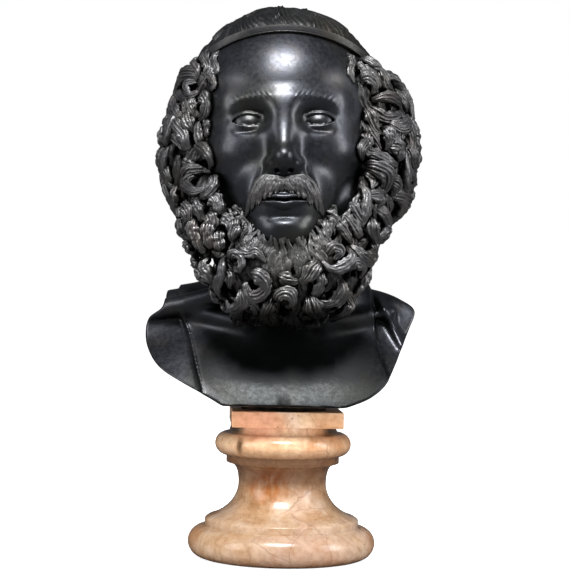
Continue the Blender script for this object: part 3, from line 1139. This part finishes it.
right_hair = [
    (4, 2, (70, 468), (78, 467), (85, 459), (91, 449)), (4, 3, (72, 463), (80, 462), (84, 454), (87, 446)),
    (5, 4, (69, 457), (78, 458), (84, 451), (83, 443)), (5, 3, (85, 470), (91, 461), (95, 451), (103, 445)),
    (6, 3, (93, 464), (105, 457), (114, 449), (119, 438), (117, 429)),
    (5.5, 6, (98, 457), (107, 447), (112, 436), (116, 423), (118, 411)), (3.2, 1, (60, 484), (64, 474), (62, 464), (66, 453)),
    (4.4, 3, (72, 478), (79, 474), (88, 466), (93, 457)), (4.2, 3, (66, 470), (72, 468), (76, 462), (74, 452)),
    (4.4, 5, (83, 437), (93, 441), (103, 436), (109, 427)), (5, 3, (83, 431), (91, 421), (103, 419), (110, 425)),
    (5, 6, (77, 431), (81, 419), (85, 407), (92, 405)), (5.6, 6, (96, 418), (104, 410), (111, 412), (115, 421)),
    (4.6, 3, (73, 418), (78, 409), (85, 399), (91, 389)), (5.5, 5, (94, 413), (98, 401), (96, 388)),
    (6, 3, (119, 420), (124, 409), (121, 398), (113, 388)), (5, 5, (108, 410), (105, 399), (110, 386)),
    (5.5, 3, (124, 398), (126, 384), (121, 367)), (5.5, 5, (116, 393), (118, 380), (121, 369)),
    (6, 5, (96, 395), (105, 391), (108, 379)), (4.4, 3, (72, 398), (76, 391), (84, 387), (90, 391)),
    (6.5, 6, (73, 375), (84, 373), (93, 366), (91, 353), (82, 346)), (4, 4, (75, 370), (81, 362), (82, 350)),
    (5, 3, (76, 387), (87, 383), (99, 377), (107, 374)), (5.5, 5, (96, 364), (103, 357), (99, 346)),
    (4.4, 4, (107, 358), (112, 349), (120, 346)), (5.5, 2, (121, 364), (123, 349), (121, 335), (113, 326)), (5.5, 5, (122, 354), (127, 342), (123, 330), (112, 325)),
    (5, 6, (94, 347), (107, 347), (114, 336), (110, 324), (100, 321)), (4.5, 4, (90, 350), (96, 339), (96, 327)),
    (5, 4, (77, 345), (87, 343), (88, 333)), (6, 5, (86, 337), (92, 326), (91, 314), (84, 302)),
    (5, 3, (73, 358), (77, 343), (74, 325), (71, 315)), (4, 2, (63, 340), (69, 327), (74, 316)), (5, 5, (90, 400), (99, 402), (104, 394), (98, 386)),
    (5, 4, (80, 408), (76, 398), (70, 390), (73, 380)), (5.5, 6, (104, 372), (97, 366), (88, 371), (84, 380)),
    (5, 5, (112, 375), (118, 365), (114, 353), (105, 350)),
    (4.6, 3, (57, 328), (64, 317), (72, 306)), (4.4, 3, (51, 322), (56, 311), (62, 300)),
    (5.5, 3, (92, 301), (99, 308), (106, 309)), (5, 4, (98, 318), (107, 312), (107, 302), (98, 297)), (5.5, 4, (83, 325), (81, 313), (87, 298)),
]
beard = [
    (5.5, 2, (-92, 308), (-91, 296), (-83, 288)), (5.5, 2, (-90, 289), (-89, 276), (-81, 271)),
    (5.5, 3, (-92, 276), (-88, 265), (-79, 256)), (6, 6, (-86, 320), (-80, 307), (-74, 291)),
    (6, 6, (-71, 322), (-70, 308), (-67, 295)), (5, 4, (-61, 312), (-61, 302), (-59, 293)),
    (5.5, 5, (-49, 323), (-47, 312), (-50, 300)), (6.5, 5, (-75, 287), (-72, 275), (-63, 262)),
    (4, 8, (-59, 289), (-56, 275), (-60, 261), (-58, 249)), (4.6, 4, (-56, 276), (-51, 267), (-52, 257)),
    (4.6, 7, (-52, 280), (-47, 289), (-39, 284), (-42, 275), (-48, 278)),
    (4, 6, (-47, 297), (-36, 289), (-26, 290), (-18, 281)),
    (4.6, 7, (-13, 270), (-20, 255), (-31, 252), (-38, 264)), (5, 9, (-34, 272), (-23, 270), (-17, 260), (-25, 255)),
    (5.5, 7, (-41, 259), (-38, 248), (-46, 242), (-55, 248)), (6, 7, (-42, 242), (-44, 229), (-39, 216)),
    (4, 2, (-69, 246), (-69, 234)), (4, 6, (-37, 242), (-30, 245), (-25, 237), (-32, 233)),
    (5.5, 6, (-11, 248), (-16, 237), (-6, 225)), (4, 3, (-52, 223), (-47, 213)),
    (5, 8, (-8, 243), (-6, 253), (3, 255), (7, 247), (1, 240)), (5, 4, (5, 235), (11, 224), (19, 217)),
    (6, 5, (21, 227), (26, 215), (37, 214), (46, 226)), (6, 7, (61, 256), (57, 243), (47, 234), (35, 228)),
    (6.5, 6, (23, 251), (26, 240), (35, 233)), (5, 6, (53, 268), (51, 255), (41, 246), (29, 246)),
    (5, 3, (36, 272), (32, 260), (28, 250)), (4, 8, (60, 299), (59, 286), (51, 278), (41, 276), (34, 283)),
    (5, 6, (38, 287), (44, 296), (51, 291), (46, 283)), (5.5, 5, (34, 283), (24, 273), (14, 262)),
    (4.5, 4, (-8, 270), (3, 266), (14, 263)), (5.5, 6, (58, 272), (62, 282), (70, 278), (69, 267)),
    (5, 5, (62, 300), (68, 290), (76, 284), (74, 272)), (4.5, 5, (83, 304), (80, 292), (71, 288)),
    (5.5, 4, (80, 283), (80, 269), (72, 257), (63, 250)), (5.5, 2, (86, 295), (84, 279), (77, 268)),
    (5, 2, (77, 262), (70, 251), (63, 240)), (4.5, 3, (-70, 262), (-66, 252), (-62, 240)),
    (5, 3, (-28, 236), (-26, 225), (-20, 216)), (5, 3, (-66, 238), (-58, 231), (-52, 236)),
]
cast_in_bronze(placed_locks("bronze_front_hair", front_lock, left_hair + right_hair, 1.4, rng), hair_bronze)
beard_bronze = patinated_bronze("patinated_bronze_beard", (0.185, 0.183, 0.190), (0.70, 0.68, 0.67),
                                (0.140, 0.138, 0.126), (0.190, 0.165, 0.150), 0.38, 0.58, 0.5, 0.9)
cast_in_bronze(placed_locks("bronze_front_beard", front_lock, beard, 1.35, rng), beard_bronze)


def fringe(root_line, tip_line, count, half_width, draw):
    """Fine strands combed from one line of the front view to another, each bowed a little."""
    roots, tips = [curve_through(line, 24) for line in (root_line, tip_line)]
    rows = []
    for k in range(count):
        share = (k + draw.uniform(0.2, 0.8)) / count
        root, tip = [line[round(share * (len(line) - 1))] + draw.uniform(-2.5, 2.5, 2) for line in (roots, tips)]
        bow = np.array([tip[1] - root[1], root[0] - tip[0]]) * draw.uniform(-0.28, 0.28)
        middle = (root + tip) / 2 + bow
        rows.append((half_width * draw.uniform(0.8, 1.25), 0.8, tuple(root), tuple(middle), tuple(tip)))
    return rows


cheeks = fringe([(-72, 366), (-66, 345), (-55, 330), (-44, 318)], [(-68, 350), (-58, 329), (-47, 316), (-38, 304)], 16, 2.2, rng)
cheeks += fringe([(72, 350), (66, 338), (56, 326), (42, 316)], [(70, 334), (62, 322), (51, 312), (38, 303)], 14, 2.2, rng)
for drop, shift in ((-10, 3), (-4, -5), (2, 5), (8, -4), (14, 5)):
    cheeks += fringe([(-38, 314 - drop), (-24, 302 - drop), (0, 297 - drop), (24, 302 - drop), (38, 314 - drop)],
                     [(-52 + shift, 290 - drop), (-33 + shift, 276 - drop), (-4 + shift, 265 - drop),
                      (30 + shift, 276 - drop), (50 + shift, 290 - drop)], 24, 2.5, rng)
cheeks += fringe([(-46, 334), (-40, 326), (-35, 316)], [(-50, 320), (-46, 309), (-40, 300)], 9, 2.8, rng)
cheeks += fringe([(44, 332), (38, 324), (33, 314)], [(49, 318), (44, 307), (38, 298)], 9, 2.8, rng)
cast_in_bronze(placed_locks("bronze_fine_strands", fine_lock, cheeks, 1.0, rng), hair_bronze)


def moustache():
    """Strands combed from under the nose outwards, the outer ones over both corners of the mouth."""
    rows = []
    number = 10
    for side in (-1, 1):
        for k in range(2 * number):
            share = (k % number) / (number - 1)
            layer = k // number
            root = (side * (1.5 + 14 * share + layer), NOSE - 3 - 2 * layer + 1.5 * share)
            tip = (side * (2.5 + 31 * share + 2 * layer), MOUTH + 5 - 17 * share ** 1.5 - 2.5 * math.sin(2.4 * k))
            middle = (side * (2 + 25 * share), NOSE - 9 - 2 * layer + 2.5 * share)
            rows.append((root, middle, tip))
    return rows


def strands_on_lip(rows, draw):
    """The moustache's strands, drawn in the head's own frame and thrown on the lip from the front."""
    steps = FINE_LOCK[0]
    t = np.linspace(0, 1, steps + 1)[:, None]
    paths, outs = [], []
    for root, middle, tip in rows:
        line = (1 - t) ** 2 * np.array(root) + 2 * t * (1 - t) * np.array(middle) + t * t * np.array(tip)
        start = out_of_head(np.stack([line[:, 0], 0 * line[:, 0], line[:, 1]], -1))
        way = np.repeat(HEAD_AXES[1:2], steps + 1, 0)
        on_lip = reach_from(lip_form, start, way, 140)
        out = slope_of(lip_form, on_lip)
        paths.append(on_lip + out * (2.2 * np.sin(math.pi * np.minimum(1, 0.2 + t * 0.7))))
        outs.append(out)
    count = len(rows)
    girth = draw.uniform(2.9, 3.8, count)
    return lock_mesh("bronze_moustache", fine_lock, np.array(paths), np.array(outs), girth, np.full(count, 2.0),
                     draw.uniform(-20, 20, count))


def lip_form(p):
    return finished_face(into_head(p))


def reach_from(form, starts, ways, far):
    """Where rays with a start each leave a form."""
    inner, outer = np.zeros(len(ways)), np.full(len(ways), float(far))
    for _ in range(26):
        middle = (inner + outer) / 2
        inside = form(starts + ways * middle[:, None]) < 0
        inner, outer = np.where(inside, middle, inner), np.where(inside, outer, middle)
    return starts + ways * outer[:, None]


cast_in_bronze(strands_on_lip(moustache(), rng), hair_bronze)

# The floor, the studio's light and the camera.
bpy.ops.object.select_all(action="DESELECT")
bpy.ops.mesh.primitive_plane_add(size=60, location=(0, 0, 0))
floor = bpy.context.object
floor.name = "pale_floor"
material, tree, shader = new_material("pale_floor")
rays = node(tree, "ShaderNodeLightPath")
tree.links.new(mixed(tree, rays.outputs["Is Glossy Ray"], (0.93, 0.93, 0.93), (0.10, 0.10, 0.10)), shader.inputs["Base Color"])
shader.inputs["Emission Color"].default_value = (1, 1, 1, 1)
tree.links.new(node(tree, "ShaderNodeMath", {"operation": "MULTIPLY"}, i0=rays.outputs["Is Camera Ray"], i1=0.9).outputs[0], shader.inputs["Emission Strength"])
shader.inputs["Roughness"].default_value = 1.0
shader.inputs["Specular IOR Level"].default_value = 0.0
floor.data.materials.append(material)

world = bpy.data.worlds.new("studio")
bpy.context.scene.world = world
world.use_nodes = True
tree = world.node_tree
back = tree.nodes["Background"]
rays = node(tree, "ShaderNodeLightPath")
seen = mixed(tree, rays.outputs["Is Glossy Ray"], (0.32, 0.32, 0.33), (0.070, 0.074, 0.086))
seen = mixed(tree, rays.outputs["Is Camera Ray"], seen, (1.0, 1.0, 1.0))
tree.links.new(seen, back.inputs["Color"])
back.inputs["Strength"].default_value = 1.0


def softbox(name, place, aim, size, power, spread=180):
    """A square soft lamp that looks from its place to a point, in metres."""
    light = bpy.data.lights.new(name, "AREA")
    light.shape = "RECTANGLE"
    light.size, light.size_y = size
    light.energy = power
    light.spread = math.radians(spread)
    lamp = bpy.data.objects.new(name, light)
    bpy.context.scene.collection.objects.link(lamp)
    lamp.location = place
    lamp.rotation_mode = "QUATERNION"
    lamp.rotation_quaternion = (Vector(place) - Vector(aim)).to_track_quat("Z", "Y")
    return lamp


softbox("high_key", (-0.05, -1.15, 2.2), (0, 0, 0.35), (0.9, 0.7), 66)
softbox("left_fill", (-1.6, -0.9, 0.9), (0, 0, 0.35), (0.8, 1.2), 11.5)
softbox("right_fill", (1.6, -0.6, 0.9), (0, 0, 0.35), (0.6, 1.2), 14)
softbox("socle_fill", (0, -1.1, 0.14), (0, 0, 0.10), (0.3, 0.05), 0.085, 14).visible_glossy = False

lens = bpy.data.cameras.new("camera")
camera = bpy.data.objects.new("camera", lens)
bpy.context.scene.collection.objects.link(camera)
lens.lens = 111.9
lens.clip_start = 0.05
lens.clip_end = 200
camera.matrix_world = (
    Matrix.Translation((-0.0011, -1.7, 0.2601)) @ Matrix.Rotation(math.radians(90), 4, "X")
    @ Matrix.Rotation(math.radians(1.15), 4, "Z")
)
bpy.context.scene.camera = camera
bpy.context.scene.view_settings.view_transform = "Standard"
